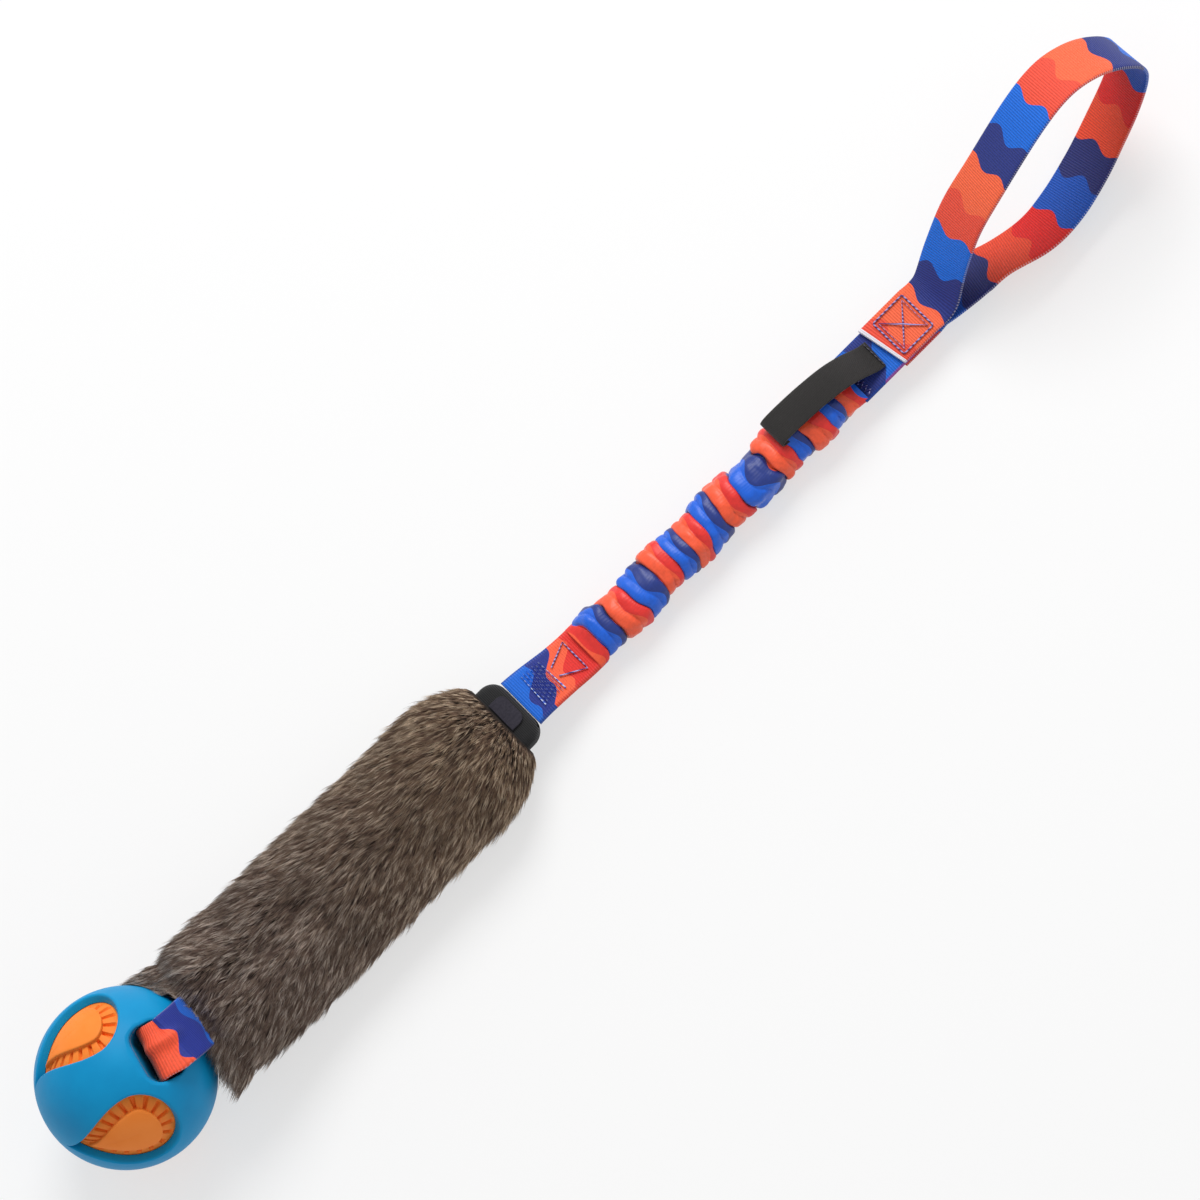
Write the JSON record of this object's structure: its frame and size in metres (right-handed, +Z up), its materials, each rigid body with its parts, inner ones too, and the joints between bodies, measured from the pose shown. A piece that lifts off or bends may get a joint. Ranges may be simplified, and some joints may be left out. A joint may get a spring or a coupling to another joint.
{
  "type": "bungee tug toy",
  "caption": "Dog tug toy: a two-part rubber ball on a webbing tether, a fur sleeve, a ruched elastic bungee and a webbing hand loop with a folded label.",
  "frame": {"origin": "On the floor under the middle of the toy's length, as it lies at rest.", "axes": "+X runs along the toy from the ball to the hand loop, +Z is up, +Y completes the right-handed frame."},
  "size_m": [0.6446, 0.0778, 0.078],
  "materials": {
    "shell_rubber": "matt moulded rubber, blue",
    "core_rubber": "matt moulded rubber, orange",
    "tether_webbing": "woven nylon webbing, printed blue and red",
    "fur": "short dense brown-grey fur",
    "inner_webbing": "woven webbing, black",
    "collar_webbing": "fine ribbed webbing, black",
    "tongue_felt": "soft cut fabric, charcoal",
    "printed_webbing": "woven nylon webbing, printed in blue, navy, orange and red bands",
    "blue_webbing": "woven nylon webbing, blue",
    "ruched_webbing": "gathered tubular webbing, printed in blue, orange and red bands",
    "elastic": "braided flat elastic, off-white",
    "light_thread": "bonded sewing thread, light blue",
    "dark_thread": "bonded sewing thread, dark purple",
    "label_cloth": "woven satin label tape, black"
  },
  "bodies": {
    "fur_body": {"pelt_sleeve": "fur", "core_strap": "inner_webbing", "collar_band": "collar_webbing", "collar_tongue": "tongue_felt"},
    "tether_body": {"ball_tether": "tether_webbing"},
    "ball_body": {"ball_shell": "shell_rubber", "ball_core": "core_rubber"},
    "bungee_body": {"lower_strap": "printed_webbing", "lower_zigzag_stitch": "light_thread", "lower_bar_stitch": "dark_thread", "bungee_sleeve": "ruched_webbing", "elastic_strip": "elastic"},
    "strap_body": {"upper_strap": "blue_webbing", "handle_end_top": "printed_webbing", "handle_end_bottom": "printed_webbing", "handle_box_stitch": "dark_thread", "handle_cross_stitch": "dark_thread", "sleeve_tack": "dark_thread"},
    "label_body": {"label_tab": "label_cloth", "label_tack": "dark_thread"},
    "loop_body": {"handle_loop": "printed_webbing"}
  },
  "joints": [
    {"name": "ball_nod", "type": "hinge", "parent": "fur_body", "child": "tether_body", "pos_m": [-0.23625, -0.004, 0.033], "axis": [0, 1, 0], "range_deg": [-20, 20]},
    {"name": "ball_swivel", "type": "hinge", "parent": "tether_body", "child": "ball_body", "pos_m": [-0.26297, -0.00535, 0.03806], "axis": [0, -0.1736, 0.9848], "range_deg": [-6, 6]},
    {"name": "bungee_bend", "type": "hinge", "parent": "fur_body", "child": "bungee_body", "pos_m": [-0.05375, 0, 0.0185], "axis": [0, 1, 0], "range_deg": [-30, 30]},
    {"name": "bungee_stretch", "type": "slide", "parent": "bungee_body", "child": "strap_body", "axis": [1, 0, 0], "range_m": [0, 0.14], "stiffness_N_per_m": 250, "deforming": ["bungee_sleeve", "elastic_strip"]},
    {"name": "label_lift", "type": "hinge", "parent": "strap_body", "child": "label_body", "pos_m": [0.15895, 0, 0.01415], "axis": [0, 1, 0], "range_deg": [0, 85]},
    {"name": "loop_flex", "type": "hinge", "parent": "strap_body", "child": "loop_body", "pos_m": [0.18965, 0, 0.012], "axis": [0, 1, 0], "range_deg": [-25, 25]}
  ]
}
